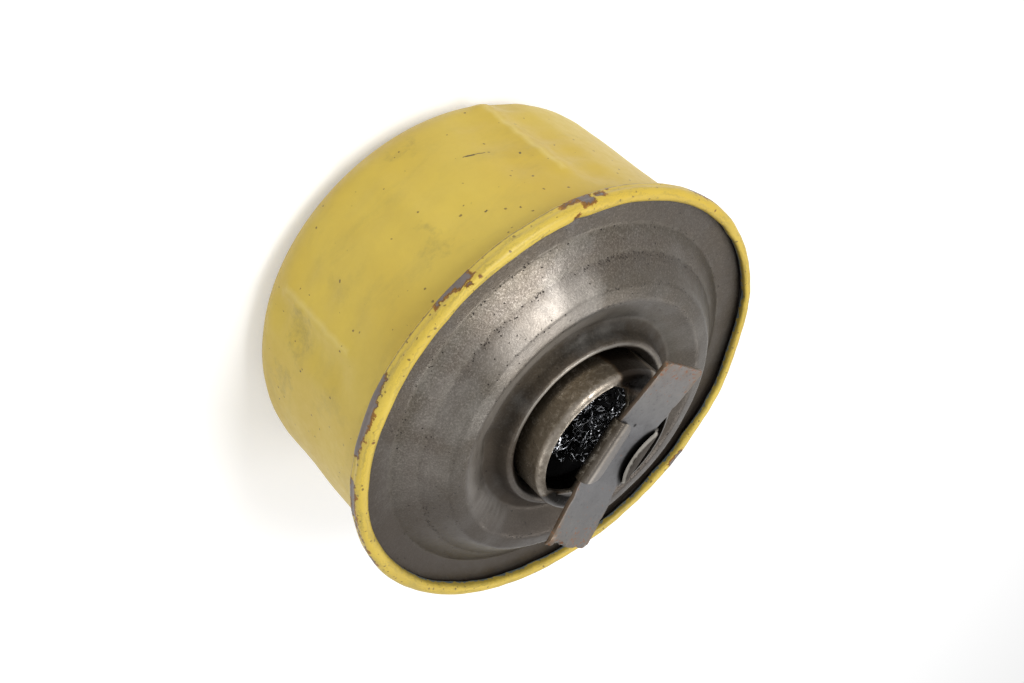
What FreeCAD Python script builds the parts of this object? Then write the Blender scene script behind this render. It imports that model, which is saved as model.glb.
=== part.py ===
import FreeCAD, Part
import Sketcher
import math
import os
import re

# Oil filler cap: a painted drum with a rolled rim that holds a bare steel base plate,
# a drawn neck through the plate, a bowed locking strip lugged to the neck's bridge,
# and wire packing inside.
# Z is the cap's axis, from the closed top at 0 towards the neck. X runs along the strip.
# Lengths are in millimetres.

SIZES = {
    "rim_plane": (48.4, "height of the rim's middle above the closed top's face"),
    "rim_radius": (50.0, "outer radius of the rolled rim"),
    "curl_radius": (1.6, "outer radius of the rim's roll"),
    "curl_rise": (2.1, "top of the roll above the rim plane"),
    "flange_drop": (2.0, "underside of the cover's flange below the rim plane"),
    "flange_bend": (0.6, "bend between the drum's wall and its flange"),
    "cover_sheet": (0.8, "sheet of the cover"),
    "drum_inset": (3.45, "how far the drum at the rim lies inside the rim's edge"),
    "drum_taper": (0.24, "how much narrower the drum is at its shoulder"),
    "shoulder_radius": (10.0, "rounding of the drum into the closed top"),
    "plate_sheet": (1.0, "sheet of the base plate"),
    "plate_edge_gap": (0.3, "room between the plate's edge and the roll's inner bend"),
    "ledge_width": (6.5, "width of the plate's flat ledge"),
    "low_slope": (4.7, "share of the lower slope in the room between ledge and dip"),
    "step_rise": (3.3, "height of the corner between the two slopes above the ledge"),
    "high_slope": (4.3, "share of the upper slope in that room"),
    "brow_rise": (7.4, "height of the slope's upper corner above the ledge"),
    "crest_band": (3.3, "share of the band from there to the highest ring"),
    "crest_rise": (8.1, "height of the highest ring above the ledge"),
    "inner_slope": (5.7, "share of the slope from the highest ring down to the dip"),
    "dip_width": (2.75, "width of the ring-shaped dip round the bead"),
    "dip_rise": (5.2, "height of the dip above the ledge"),
    "slope_round": (3.0, "rounding of the plate's corners"),
    "bead_radius": (1.9, "outer radius of the raised bead round the neck"),
    "bead_rise": (8.5, "height of the bead above the ledge"),
    "bead_foot": (1.0, "bend at the bead's foot"),
    "bead_lip": (0.9, "straight length of the bead's inner leg"),
    "neck_radius": (17.0, "outer radius of the neck"),
    "neck_sheet": (0.8, "sheet of the neck"),
    "neck_gap": (0.05, "room between the bead and the neck"),
    "neck_rise": (14.6, "top of the neck's lip above the rim plane"),
    "lip_radius": (1.6, "outer rounding of the lip"),
    "neck_flange": (5.8, "width of the flange under the plate's dip"),
    "neck_bend": (0.8, "bend between the neck and its flange"),
    "mouth_inset": (1.5, "distance of the mouth's round edge from the neck's outside"),
    "end_wall": (4.5, "distance of the mouth's straight ends from the neck's outside"),
    "mouth_round": (2.5, "rounding of the mouth's corners"),
    "bridge_rise": (2.6, "top of the bridge above the lip"),
    "bridge_width": (11.0, "width of the bridge across the strip"),
    "bridge_joggle": (2.3, "length of each slope of the bridge"),
    "bridge_foot": (1.3, "length of each foot of the bridge on the end wall"),
    "bridge_round": (1.0, "rounding of the bridge's joggles"),
    "strip_half": (22.0, "half length of the locking strip"),
    "strip_width": (12.7, "width of the locking strip"),
    "strip_sheet": (0.9, "sheet of the locking strip"),
    "strip_flat": (8.7, "half length of the strip's middle, up to where the arms rise"),
    "strip_lift": (1.9, "how far the strip's ends bow outwards"),
    "strip_bend": (20.0, "rounding where the arms leave the flat middle"),
    "strip_corner": (0.6, "rounding of the strip's corners"),
    "strip_worn": (1.3, "size of the strip's one worn corner"),
    "lug_half": (7.2, "half length of each lug"),
    "lug_gap": (0.1, "room between a lug and the strip's edge"),
    "lug_seat": (0.02, "room between the pressed lug and the strip's face"),
    "pressed_reach": (2.3, "distance of the pressed lug's tip from the middle"),
    "pressed_round": (2.6, "rounding of the pressed lug's corners"),
    "open_reach": (3.3, "distance of the open lug's tip from the middle"),
    "open_lift": (0.85, "gap under the open lug's tip"),
    "open_arc": (7.6, "radius of the open lug's half-moon edge"),
    "packing_gap": (0.3, "room between the wire packing and the walls"),
    "packing_rise": (8.6, "top of the packing in the neck above the rim plane"),
    "wire_radius": (0.22, "radius of one packing wire"),
    "loop_radius": (2.6, "radius of the packing's standing wire loops"),
    "loop_spread": (3.3, "how fast the loops spread from the neck's axis"),
}

# Heights that several pieces share
LEDGE = "(rim_plane - flange_drop + cover_sheet + plate_sheet)"
DIP_UNDER = f"({LEDGE} + dip_rise - plate_sheet)"
LIP_TOP = "(rim_plane + neck_rise)"
BRIDGE_TOP = f"({LIP_TOP} + bridge_rise)"
STRIP_TOP = f"({BRIDGE_TOP} + strip_sheet)"
LUG_INNER = "(strip_width / 2 + lug_gap)"

# Radii and half lengths that several pieces share
DRUM_RADIUS = "(rim_radius - drum_inset)"
PLATE_EDGE = "(rim_radius - curl_radius - plate_edge_gap)"
BORE = "(neck_radius + neck_gap)"
BEAD_OUTER = f"({BORE} + 2 * bead_radius)"
MOUTH_RADIUS = "(neck_radius - mouth_inset)"
MOUTH_REACH = "(neck_radius - end_wall)"
BRIDGE_FLAT = f"({MOUTH_REACH} - bridge_joggle)"
BRIDGE_FOOT = f"({MOUTH_REACH} + bridge_foot)"
WORD = re.compile(r"[a-z][a-z_]+")

# The packing's loops of wire, set out on a spiral so that no two line up
LOOP_COUNT = 9
LOOP_TURN = 137.5
LOOP_LEAN = 42.0

doc = FreeCAD.newDocument("oil_filler_cap")
sheet = doc.addObject("Spreadsheet::Sheet", "Sizes")
for row, (alias, (value, note)) in enumerate(SIZES.items(), start=1):
    sheet.set(f"A{row}", alias)
    sheet.set(f"B{row}", str(value))
    sheet.setAlias(f"B{row}", alias)
    sheet.set(f"C{row}", note)
doc.recompute()


def tied(text):
    """The expression with each size word turned into its cell of the sheet."""
    def cell(found):
        word = found.group()
        return f"Sizes.{word}" if word in SIZES else word

    return WORD.sub(cell, text)


def number(text):
    """The present value of an expression."""
    return float(sheet.evalExpression(tied(text)))


def new_body(label):
    body = doc.addObject("PartDesign::Body", label)
    body.Label = label
    return body


def origin_plane(body, role):
    return next(plane for plane in body.Origin.OriginFeatures if plane.Role == role)


def new_sketch(body, name, role, height=None):
    """A sketch on one of the body's own planes, lifted to a height if one is given."""
    sketch = body.newObject("Sketcher::SketchObject", name)
    sketch.AttachmentSupport = [(origin_plane(body, role), "")]
    sketch.MapMode = "FlatFace"
    if height:
        sketch.setExpression("AttachmentOffset.Base.z", tied(height))
    return sketch


def place_corner(sketch, edge, end, across, up):
    """Fixes one corner of an outline at the places that two expressions give."""
    for kind, axis, text in (("DistanceX", -2, across), ("DistanceY", -1, up)):
        value = number(text)
        if text == "0":
            sketch.addConstraint(Sketcher.Constraint("PointOnObject", edge, end, axis))
            continue
        if value < 0:
            index = sketch.addConstraint(Sketcher.Constraint(kind, edge, end, -1, 1, -value))
            sketch.setExpression(f"Constraints[{index}]", tied(f"-({text})"))
        else:
            index = sketch.addConstraint(Sketcher.Constraint(kind, -1, 1, edge, end, value))
            sketch.setExpression(f"Constraints[{index}]", tied(text))


def arc_between(start, end, radius, turn):
    """An arc of the given radius, turning left (1) or right (-1) on its way from start to end."""
    chord = end - start
    middle = (start + end) * 0.5
    reach = math.sqrt(max(radius ** 2 - (chord.Length / 2) ** 2, 0.0))
    side = FreeCAD.Vector(-chord.y, chord.x, 0).normalize() * turn
    centre = middle + side * reach
    first, last = (start, end) if turn > 0 else (end, start)
    angles = [math.atan2((point - centre).y, (point - centre).x) for point in (first, last)]
    circle = Part.Circle(centre, FreeCAD.Vector(0, 0, 1), radius)
    return Part.ArcOfCircle(circle, angles[0], angles[1])


def outline(body, name, role, steps, height=None):
    """A closed outline. A step is (across, up), or (across, up, radius, turn) where an arc leaves it."""
    sketch = new_sketch(body, name, role, height)
    corners = [FreeCAD.Vector(number(step[0]), number(step[1]), 0) for step in steps]
    ends = []
    for index, step in enumerate(steps):
        start = corners[index]
        end = corners[(index + 1) % len(steps)]
        if len(step) == 2:
            edge = sketch.addGeometry(Part.LineSegment(start, end), False)
            ends.append((edge, 1, 2))
        else:
            edge = sketch.addGeometry(arc_between(start, end, number(step[2]), step[3]), False)
            ends.append((edge, 1, 2) if step[3] > 0 else (edge, 2, 1))
    for index, step in enumerate(steps):
        edge, start_end, _ = ends[index]
        before, _, before_end = ends[index - 1]
        sketch.addConstraint(Sketcher.Constraint("Coincident", before, before_end, edge, start_end))
        place_corner(sketch, edge, start_end, step[0], step[1])
    for index, step in enumerate(steps):
        if len(step) > 2:
            mark = sketch.addConstraint(Sketcher.Constraint("Radius", ends[index][0], number(step[2])))
            sketch.setExpression(f"Constraints[{mark}]", tied(step[2]))
    return sketch


def revolve(body, name, sketch):
    turned = body.newObject("PartDesign::Revolution", name)
    turned.Profile = sketch
    turned.ReferenceAxis = (sketch, ["V_Axis"])
    turned.Angle = 360
    sketch.Visibility = False
    doc.recompute()
    return turned


def pad_both_ways(body, name, sketch, length):
    padded = body.newObject("PartDesign::Pad", name)
    padded.Profile = sketch
    padded.setExpression("Length", tied(length))
    padded.Midplane = True
    doc.recompute()
    return padded


def pocket_down(body, name, sketch, depth):
    """A pocket towards -Z, which has to take some metal away."""
    before = body.Shape.Volume
    cut = body.newObject("PartDesign::Pocket", name)
    cut.Profile = sketch
    cut.setExpression("Length", tied(depth))
    doc.recompute()
    if not cut.Shape.Volume < before - 0.01:
        raise ValueError(f"{name} cuts nothing")
    return cut


def dress_edges(body, name, kind, size_name, size, wanted):
    """Fillets or chamfers the edges of the body's last feature for which wanted(edge) is true."""
    base = body.Tip
    names = [f"Edge{index}" for index, edge in enumerate(base.Shape.Edges, start=1) if wanted(edge)]
    if not names:
        raise ValueError(f"{name} finds no edge")
    dressed = body.newObject(kind, name)
    dressed.Base = (base, names)
    dressed.setExpression(size_name, tied(size))
    doc.recompute()
    return dressed


def round_edges(body, name, radius, wanted):
    return dress_edges(body, name, "PartDesign::Fillet", "Radius", radius, wanted)


def bevel_edges(body, name, size, wanted):
    return dress_edges(body, name, "PartDesign::Chamfer", "Size", size, wanted)


def circle_at(*places):
    """A test for a round edge about the Z axis at one of the (radius, height) places."""
    values = [(number(radius), number(height)) for radius, height in places]

    def wanted(edge):
        curve = edge.Curve
        if not isinstance(curve, Part.Circle) or abs(curve.Axis.z) < 0.99:
            return False
        return any(
            abs(curve.Radius - radius) < 0.01 and abs(curve.Center.z - height) < 0.01
            for radius, height in values
        )

    return wanted


def line_along(axis, *places):
    """A test for a straight edge along an axis whose middle is at one of the places.

    A place is three expressions, with None where any value fits."""
    values = [[None if text is None else number(text) for text in place] for place in places]

    def wanted(edge):
        if not isinstance(edge.Curve, Part.Line) or abs(getattr(edge.Curve.Direction, axis)) < 0.95:
            return False
        middle = edge.CenterOfMass
        return any(
            all(want is None or abs(have - want) < 0.02 for have, want in zip(middle, place))
            for place in values
        )

    return wanted


def make_outer_cover():
    """The drum, drawn in one with its closed top, flange and rolled rim."""
    body = new_body("outer_cover")
    flange_low = "(rim_plane - flange_drop)"
    flange_high = f"({flange_low} + cover_sheet)"
    roll_middle = "(rim_radius - curl_radius)"
    roll_inner = "(rim_radius - 2 * curl_radius)"
    roll_low = f"({flange_low} + curl_radius)"
    roll_high = "(rim_plane + curl_rise - curl_radius)"
    shoulder_wall = f"({DRUM_RADIUS} - drum_taper)"
    hollow = "(curl_radius - cover_sheet)"
    section = outline(body, "cover_section", "XZ_Plane", [
        ("0", "0"),
        (f"{shoulder_wall} - shoulder_radius", "0", "shoulder_radius", 1),
        (shoulder_wall, "shoulder_radius"),
        (DRUM_RADIUS, f"{flange_low} - flange_bend", "flange_bend", -1),
        (f"{DRUM_RADIUS} + flange_bend", flange_low),
        (roll_middle, flange_low, "curl_radius", 1),
        ("rim_radius", roll_low),
        ("rim_radius", roll_high, "curl_radius", 1),
        (roll_middle, "rim_plane + curl_rise", "curl_radius", 1),
        (roll_inner, roll_high),
        (roll_inner, LEDGE),
        (f"{roll_inner} + cover_sheet", LEDGE),
        (f"{roll_inner} + cover_sheet", roll_high, hollow, -1),
        (roll_middle, "rim_plane + curl_rise - cover_sheet", hollow, -1),
        ("rim_radius - cover_sheet", roll_high),
        ("rim_radius - cover_sheet", roll_low, hollow, -1),
        (roll_middle, flange_high),
        (f"{DRUM_RADIUS} + flange_bend", flange_high, "flange_bend + cover_sheet", 1),
        (f"{DRUM_RADIUS} - cover_sheet", f"{flange_low} - flange_bend"),
        (f"{shoulder_wall} - cover_sheet", "shoulder_radius", "shoulder_radius - cover_sheet", -1),
        (f"{shoulder_wall} - shoulder_radius", "cover_sheet"),
        ("0", "cover_sheet"),
    ])
    revolve(body, "cover_turned", section)
    return body


def make_base_plate():
    """The stepped base plate: a flat ledge, two slopes, a crest, a dip and a bead at its hole."""
    body = new_body("base_plate")
    ledge_inner = f"({PLATE_EDGE} - ledge_width)"
    dip_outer = f"({BEAD_OUTER} + dip_width)"
    share = f"({ledge_inner} - {dip_outer}) / (low_slope + high_slope + crest_band + inner_slope)"
    rings = [
        (PLATE_EDGE, LEDGE),
        (ledge_inner, LEDGE),
        (f"{ledge_inner} - low_slope * {share}", f"{LEDGE} + step_rise"),
        (f"{ledge_inner} - (low_slope + high_slope) * {share}", f"{LEDGE} + brow_rise"),
        (f"{dip_outer} + inner_slope * {share}", f"{LEDGE} + crest_rise"),
        (dip_outer, f"{LEDGE} + dip_rise"),
    ]
    under = [(radius, f"{height} - plate_sheet") for radius, height in rings]
    bore = BORE
    bead_middle = f"({bore} + bead_radius)"
    bead_outer = BEAD_OUTER
    bead_arc = f"({LEDGE} + bead_rise - bead_radius)"
    dip = f"({LEDGE} + dip_rise)"
    hollow = "(bead_radius - plate_sheet)"
    steps = rings + [
        (f"{bead_outer} + bead_foot", dip, "bead_foot", -1),
        (bead_outer, f"{dip} + bead_foot"),
        (bead_outer, bead_arc, "bead_radius", 1),
        (bead_middle, f"{LEDGE} + bead_rise", "bead_radius", 1),
        (bore, bead_arc),
        (bore, f"{bead_arc} - bead_lip"),
        (f"{bore} + plate_sheet", f"{bead_arc} - bead_lip"),
        (f"{bore} + plate_sheet", bead_arc, hollow, -1),
        (bead_middle, f"{LEDGE} + bead_rise - plate_sheet", hollow, -1),
        (f"{bead_outer} - plate_sheet", bead_arc),
        (f"{bead_outer} - plate_sheet", f"{dip} + bead_foot", "bead_foot + plate_sheet", 1),
        (f"{bead_outer} + bead_foot", DIP_UNDER),
    ] + under[::-1]
    revolve(body, "plate_turned", outline(body, "plate_section", "XZ_Plane", steps))
    corners = rings[1:] + under[1:]
    widest_round = f"min(slope_round; 0.95 * crest_band * {share})"
    round_edges(body, "plate_corners", widest_round, circle_at(*corners))
    return body


def add_mouth(body):
    """The opening in the neck's end wall: a round hole cut short at both ends of the strip."""
    centre_x = f"({MOUTH_REACH} - mouth_round)"
    centre_y = f"sqrt(({MOUTH_RADIUS} - mouth_round) ^ 2 - {centre_x} ^ 2)"
    stretch = f"{MOUTH_RADIUS} / ({MOUTH_RADIUS} - mouth_round)"
    rim_x = f"{centre_x} * {stretch}"
    rim_y = f"{centre_y} * {stretch}"
    plan = outline(body, "mouth_plan", "XY_Plane", [
        (MOUTH_REACH, f"-{centre_y}"),
        (MOUTH_REACH, centre_y, "mouth_round", 1),
        (rim_x, rim_y, MOUTH_RADIUS, 1),
        (f"-{rim_x}", rim_y, "mouth_round", 1),
        (f"-{MOUTH_REACH}", centre_y),
        (f"-{MOUTH_REACH}", f"-{centre_y}", "mouth_round", 1),
        (f"-{rim_x}", f"-{rim_y}", MOUTH_RADIUS, 1),
        (rim_x, f"-{rim_y}", "mouth_round", 1),
    ], f"{LIP_TOP} + lip_radius")
    pocket_down(body, "mouth", plan, "2 * lip_radius + neck_sheet")


def add_bridge(body):
    """The bridge across the mouth, joggled up from the end wall to carry the strip."""
    bridge_low = f"({BRIDGE_TOP} - neck_sheet)"
    wall_low = f"({LIP_TOP} - neck_sheet)"
    side = outline(body, "bridge_side", "XZ_Plane", [
        (f"-{BRIDGE_FOOT}", wall_low),
        (f"-{MOUTH_REACH}", wall_low),
        (f"-{BRIDGE_FLAT}", bridge_low),
        (BRIDGE_FLAT, bridge_low),
        (MOUTH_REACH, wall_low),
        (BRIDGE_FOOT, wall_low),
        (BRIDGE_FOOT, LIP_TOP),
        (MOUTH_REACH, LIP_TOP),
        (BRIDGE_FLAT, BRIDGE_TOP),
        (f"-{BRIDGE_FLAT}", BRIDGE_TOP),
        (f"-{MOUTH_REACH}", LIP_TOP),
        (f"-{BRIDGE_FOOT}", LIP_TOP),
    ])
    pad_both_ways(body, "bridge", side, "bridge_width")
    bends = line_along(
        "y",
        (BRIDGE_FLAT, None, BRIDGE_TOP),
        (f"-{BRIDGE_FLAT}", None, BRIDGE_TOP),
        (BRIDGE_FLAT, None, bridge_low),
        (f"-{BRIDGE_FLAT}", None, bridge_low),
    )
    round_edges(body, "bridge_joggles", "bridge_round", bends)


def add_lugs(body):
    """Two lugs bent up from the bridge: one pressed over the strip, one still standing off it."""
    root = "(bridge_width / 2 - neck_sheet)"
    outer = f"({LUG_INNER} + neck_sheet)"
    bridge_low = f"({BRIDGE_TOP} - neck_sheet)"
    flap_low = f"({STRIP_TOP} + lug_seat)"
    flap_high = f"({flap_low} + neck_sheet)"
    pressed = outline(body, "pressed_lug_section", "YZ_Plane", [
        (root, bridge_low),
        (LUG_INNER, bridge_low, "neck_sheet", 1),
        (outer, BRIDGE_TOP),
        (outer, flap_low, "neck_sheet", 1),
        (LUG_INNER, flap_high),
        ("pressed_reach", flap_high),
        ("pressed_reach", flap_low),
        (LUG_INNER, flap_low),
        (LUG_INNER, BRIDGE_TOP),
        (root, BRIDGE_TOP),
    ])
    pad_both_ways(body, "pressed_lug", pressed, "2 * lug_half")
    tips = line_along("z", ("lug_half", "pressed_reach", None), ("-lug_half", "pressed_reach", None))
    round_edges(body, "pressed_lug_corners", "pressed_round", tips)

    tip_low = f"({STRIP_TOP} + open_lift)"
    open_side = outline(body, "open_lug_section", "YZ_Plane", [
        (f"-{root}", BRIDGE_TOP),
        (f"-{LUG_INNER}", BRIDGE_TOP),
        (f"-{LUG_INNER}", flap_low),
        ("-open_reach", tip_low),
        ("-open_reach", f"{tip_low} + neck_sheet"),
        (f"-{LUG_INNER}", flap_high, "neck_sheet", 1),
        (f"-{outer}", flap_low),
        (f"-{outer}", BRIDGE_TOP, "neck_sheet", 1),
        (f"-{LUG_INNER}", bridge_low),
        (f"-{root}", bridge_low),
    ])
    pad_both_ways(body, "open_lug", open_side, "2 * lug_half")

    edge_back = "(open_reach + open_arc - sqrt(open_arc ^ 2 - lug_half ^ 2))"
    plan = outline(body, "open_lug_plan", "XY_Plane", [
        ("-lug_half", f"-{edge_back}"),
        ("-lug_half - lug_gap", f"-{edge_back}"),
        ("-lug_half - lug_gap", "-open_reach + lug_gap"),
        ("lug_half + lug_gap", "-open_reach + lug_gap"),
        ("lug_half + lug_gap", f"-{edge_back}"),
        ("lug_half", f"-{edge_back}", "open_arc", 1),
    ], f"{tip_low} + 2 * neck_sheet")
    pocket_down(body, "open_lug_edge", plan, f"{tip_low} + 2 * neck_sheet - {flap_low}")


def make_neck_cup():
    """The neck: a drawn cup with a flange under the plate, a rounded lip, a bridge and two lugs."""
    body = new_body("neck_cup")
    bend_height = f"({DIP_UNDER} + neck_bend)"
    lip_foot = f"({LIP_TOP} - lip_radius)"
    inner = "(neck_radius - neck_sheet)"
    section = outline(body, "neck_section", "XZ_Plane", [
        ("neck_radius + neck_flange", f"{DIP_UNDER} - neck_sheet"),
        ("neck_radius + neck_flange", DIP_UNDER),
        ("neck_radius + neck_bend", DIP_UNDER, "neck_bend", -1),
        ("neck_radius", bend_height),
        ("neck_radius", lip_foot, "lip_radius", 1),
        ("neck_radius - lip_radius", LIP_TOP),
        ("0", LIP_TOP),
        ("0", f"{LIP_TOP} - neck_sheet"),
        ("neck_radius - lip_radius", f"{LIP_TOP} - neck_sheet", "lip_radius - neck_sheet", -1),
        (inner, lip_foot),
        (inner, bend_height, "neck_bend + neck_sheet", 1),
        ("neck_radius + neck_bend", f"{DIP_UNDER} - neck_sheet"),
    ])
    revolve(body, "neck_turned", section)
    add_mouth(body)
    add_bridge(body)
    add_lugs(body)
    return body


def make_locking_strip():
    """The spring strip, flat on the bridge with both arms bowed outwards."""
    body = new_body("locking_strip")
    tip = f"({BRIDGE_TOP} + strip_lift)"
    side = outline(body, "strip_side", "XZ_Plane", [
        ("-strip_flat", BRIDGE_TOP),
        ("strip_flat", BRIDGE_TOP),
        ("strip_half", tip),
        ("strip_half", f"{tip} + strip_sheet"),
        ("strip_flat", STRIP_TOP),
        ("-strip_flat", STRIP_TOP),
        ("-strip_half", f"{tip} + strip_sheet"),
        ("-strip_half", tip),
    ])
    pad_both_ways(body, "strip", side, "strip_width")
    bends = line_along(
        "y",
        ("strip_flat", None, BRIDGE_TOP),
        ("-strip_flat", None, BRIDGE_TOP),
        ("strip_flat", None, STRIP_TOP),
        ("-strip_flat", None, STRIP_TOP),
    )
    round_edges(body, "strip_bends", "strip_bend", bends)
    corners = line_along(
        "z",
        ("strip_half", "strip_width / 2", None),
        ("strip_half", "-strip_width / 2", None),
        ("-strip_half", "-strip_width / 2", None),
    )
    round_edges(body, "strip_corners", "strip_corner", corners)
    worn = line_along("z", ("-strip_half", "strip_width / 2", None))
    bevel_edges(body, "worn_corner", "strip_worn", worn)
    return body


def make_wire_packing():
    """The wire packing: a stepped pad that fills the drum and the neck, with loops of wire on top."""
    body = new_body("wire_packing")
    drum_inner = f"({DRUM_RADIUS} - drum_taper - cover_sheet - packing_gap)"
    neck_inner = "(neck_radius - neck_sheet - packing_gap)"
    floor_height = "(cover_sheet + packing_gap)"
    drum_top = f"({LEDGE} - plate_sheet - packing_gap)"
    pad_top = "(rim_plane + packing_rise)"
    shoulder = "(shoulder_radius - cover_sheet)"
    section = outline(body, "packing_section", "XZ_Plane", [
        ("0", floor_height),
        (f"{drum_inner} - {shoulder}", floor_height, shoulder, 1),
        (drum_inner, f"{floor_height} + {shoulder}"),
        (drum_inner, drum_top),
        (neck_inner, drum_top),
        (neck_inner, pad_top),
        ("0", pad_top),
    ])
    revolve(body, "packing_turned", section)
    for index in range(LOOP_COUNT):
        angle = math.radians(LOOP_TURN * index)
        reach = f"(loop_spread * {math.sqrt(index):.4f})"
        loop = body.newObject("PartDesign::AdditiveTorus", f"wire_loop_{index + 1}")
        loop.AttachmentSupport = [(origin_plane(body, "XY_Plane"), "")]
        loop.MapMode = "FlatFace"
        turn = FreeCAD.Rotation(LOOP_TURN * index, LOOP_LEAN, 0)
        loop.AttachmentOffset = FreeCAD.Placement(FreeCAD.Vector(0, 0, 0), turn)
        loop.setExpression("AttachmentOffset.Base.x", tied(f"{reach} * {math.cos(angle):.4f}"))
        loop.setExpression("AttachmentOffset.Base.y", tied(f"{reach} * {math.sin(angle):.4f}"))
        loop.setExpression("AttachmentOffset.Base.z", tied(pad_top))
        loop.setExpression("Radius1", tied("loop_radius"))
        loop.setExpression("Radius2", tied("wire_radius"))
        doc.recompute()
    return body


pieces = [
    make_outer_cover(),
    make_base_plate(),
    make_neck_cup(),
    make_locking_strip(),
    make_wire_packing(),
]
doc.recompute()

for thing in doc.Objects:
    if "Invalid" in thing.State or "Error" in thing.State:
        raise ValueError(f"{thing.Name} failed: {thing.State}")
for piece in pieces:
    if piece.Shape.isNull() or not piece.Shape.isValid() or len(piece.Shape.Solids) != 1:
        raise ValueError(f"{piece.Label} is not one valid solid")

os.makedirs("parts", exist_ok=True)
for piece in pieces:
    piece.Placement = FreeCAD.Placement()
    piece.Shape.exportStep(f"parts/{piece.Label}.step")
    print(f"{piece.Label}: {piece.Shape.Volume:.1f} mm3, {len(piece.Shape.Faces)} faces")
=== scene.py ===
import math
import random
from functools import partial

import bmesh
import bpy
from mathutils import Matrix, Quaternion, Vector
from mathutils.kdtree import KDTree


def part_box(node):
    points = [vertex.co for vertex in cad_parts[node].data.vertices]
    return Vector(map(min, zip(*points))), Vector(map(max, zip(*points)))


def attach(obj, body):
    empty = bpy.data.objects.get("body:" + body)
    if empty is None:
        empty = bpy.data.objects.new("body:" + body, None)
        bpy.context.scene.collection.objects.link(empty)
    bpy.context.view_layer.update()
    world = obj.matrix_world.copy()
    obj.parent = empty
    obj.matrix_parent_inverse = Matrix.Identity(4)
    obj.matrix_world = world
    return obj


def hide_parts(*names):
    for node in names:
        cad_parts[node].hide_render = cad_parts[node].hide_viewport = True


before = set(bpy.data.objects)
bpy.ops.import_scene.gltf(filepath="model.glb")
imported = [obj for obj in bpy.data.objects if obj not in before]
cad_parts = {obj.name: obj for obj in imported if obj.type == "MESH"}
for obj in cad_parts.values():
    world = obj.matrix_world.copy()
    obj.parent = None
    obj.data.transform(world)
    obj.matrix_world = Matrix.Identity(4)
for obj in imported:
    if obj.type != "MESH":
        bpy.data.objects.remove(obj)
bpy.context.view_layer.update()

# Oil filler cap, standing on its closed top with the neck up. Z is the cap's axis, X runs along
# the locking strip, and Y points to the side of the lug that is pressed flat, which is the
# camera's side. Lengths are in metres, and an azimuth is an angle about Z from +X, in degrees.

MM = 0.001

# Driving sizes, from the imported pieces
COVER_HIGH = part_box("outer_cover")[1]
STRIP_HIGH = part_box("locking_strip")[1]
PACKING_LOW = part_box("wire_packing")[0]
RIM_MM = 50
RIM_RADIUS = RIM_MM * MM
RIM_TOP = COVER_HIGH.z
DRUM_RADIUS = RIM_RADIUS - 3.45 * MM
FLANGE_UNDER = RIM_TOP - 4.1 * MM
SHEET = 0.8 * MM
LEDGE = RIM_TOP - 2.3 * MM
NECK_RADIUS = 17 * MM
LIP_TOP = LEDGE + 14.8 * MM
BRIDGE_TOP = LIP_TOP + 2.6 * MM
STRIP_HALF = STRIP_HIGH.x
STRIP_WIDTH = 2 * STRIP_HIGH.y
STRIP_SHEET = 0.9 * MM
STRIP_TOP = BRIDGE_TOP + STRIP_SHEET
OPEN_LUG_CENTRE = (0, -10.9 * MM, 0)
OPEN_LUG_RADIUS = 7.6 * MM


# ---------------------------------------------------------------- shaping helpers


def at(azimuth, radius, height):
    """The place at an azimuth, radius and height."""
    turn = math.radians(azimuth)
    return Vector((radius * math.cos(turn), radius * math.sin(turn), height))


def arc(degrees):
    """The length in mm of an arc on the rim's outside."""
    return math.radians(degrees) * RIM_MM


def rounded(corners, arc_step=15):
    """A line through (across, up, radius) corners, with an arc at each that has a radius."""
    line = []
    for index, (across, up, radius) in enumerate(corners):
        corner = Vector((across, up))
        if radius == 0 or index in (0, len(corners) - 1):
            line.append(corner)
            continue
        before = (corner - Vector(corners[index - 1][:2])).normalized()
        after = (Vector(corners[index + 1][:2]) - corner).normalized()
        turn = before.angle_signed(after)
        start = corner - before * radius * math.tan(abs(turn) / 2)
        side = Vector((before.y, -before.x)) * (1 if turn > 0 else -1)
        centre = start + side * radius
        steps = max(2, math.ceil(math.degrees(abs(turn)) / arc_step))
        for step in range(steps + 1):
            spoke = start - centre
            spoke.rotate(Matrix.Rotation(-turn * step / steps, 2))
            line.append(centre + spoke)
    return line


def with_runs_split(line, longest):
    """The same line with its long straight runs split evenly, so that they can be dented."""
    fine = [line[0]]
    for start, end in zip(line, line[1:]):
        parts = max(1, math.ceil((end - start).length / longest))
        fine += [start.lerp(end, part / parts) for part in range(1, parts + 1)]
    return fine


def turned(name, section, steps):
    """Draws a section as a line of vertices and spins it about the cap's axis."""
    bpy.ops.object.select_all(action="DESELECT")
    bpy.ops.mesh.primitive_plane_add(size=MM, location=(0, 0, 0))
    piece = bpy.context.object
    piece.name = name
    bpy.ops.object.mode_set(mode="EDIT")
    bpy.ops.mesh.select_all(action="SELECT")
    bpy.ops.mesh.merge(type="CENTER")
    bpy.ops.transform.translate(value=(section[0].x, 0, section[0].y))
    for start, end in zip(section, section[1:]):
        move = (end.x - start.x, 0, end.y - start.y)
        bpy.ops.mesh.extrude_vertices_move(TRANSFORM_OT_translate={"value": move})
    bpy.ops.mesh.select_all(action="SELECT")
    bpy.ops.mesh.spin(steps=steps, angle=2 * math.pi, center=(0, 0, 0), axis=(0, 0, 1))
    bpy.ops.mesh.select_all(action="SELECT")
    bpy.ops.mesh.remove_doubles(threshold=0.002 * MM)
    bpy.ops.mesh.normals_make_consistent(inside=False)
    bpy.ops.object.mode_set(mode="OBJECT")
    return piece


def pick(piece):
    """Selects one piece alone, and makes it the active one."""
    bpy.ops.object.select_all(action="DESELECT")
    piece.select_set(True)
    bpy.context.view_layer.objects.active = piece


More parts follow.
